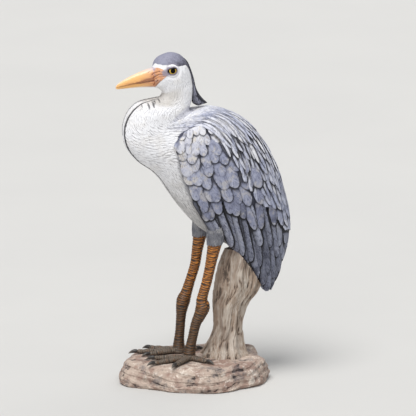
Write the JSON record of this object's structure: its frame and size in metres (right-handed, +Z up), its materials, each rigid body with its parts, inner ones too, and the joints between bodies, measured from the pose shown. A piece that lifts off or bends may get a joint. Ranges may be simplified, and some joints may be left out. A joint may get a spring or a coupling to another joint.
{
  "type": "grey heron garden figure",
  "caption": "Painted resin grey heron standing with its neck drawn in, on a rock base with a driftwood post rising behind its legs to the tail.",
  "frame": {"origin": "middle of the flat underside of the rock base", "axes": "+Z up; the bird faces -Y, so its bill points along -Y and its tail along +Y; +X is the bird's left side"},
  "size_m": [0.2114, 0.3008, 0.5709],
  "materials": {
    "plumage_white": "painted resin, matte, fine sculpted feather texture",
    "crown_paint": "painted resin, matte, dark slate grey",
    "bill_paint": "painted resin, satin, orange with brown shading",
    "eye_glass": "glossy yellow eye with a black pupil",
    "mantle_paint": "painted resin, matte, grey dry-brushed over dark grooves",
    "covert_paint": "painted resin, matte, beige-grey feather tips",
    "flight_paint": "painted resin, matte, dark slate grey",
    "thigh_paint": "painted resin, matte, light grey",
    "leg_paint": "painted resin, satin, ochre with dark scute grooves",
    "foot_paint": "painted resin, satin, dark grey",
    "claw_paint": "painted resin, satin, black",
    "rock": "cast rock texture, matte, pinkish grey",
    "driftwood": "cast driftwood texture, matte, grey-brown"
  },
  "bodies": {
    "root": {"base": "rock", "stump": "driftwood", "foot_left": "foot_paint", "foot_right": "foot_paint", "claw_left_1": "claw_paint", "claw_left_2": "claw_paint", "claw_left_3": "claw_paint", "claw_left_4": "claw_paint", "claw_right_1": "claw_paint", "claw_right_2": "claw_paint", "claw_right_3": "claw_paint", "claw_right_4": "claw_paint", "leg_left": "leg_paint", "leg_right": "leg_paint", "thigh_left": "thigh_paint", "thigh_right": "thigh_paint", "trunk": "plumage_white", "neck": "plumage_white", "head": "plumage_white", "bill_upper": "bill_paint", "bill_lower": "bill_paint", "eye_left": "eye_glass", "eye_right": "eye_glass", "crest": "crown_paint", "mantle": "mantle_paint", "wing_left": "covert_paint", "wing_right": "covert_paint", "flight_left": "flight_paint", "flight_right": "flight_paint", "tail": "flight_paint"}
  },
  "joints": []
}
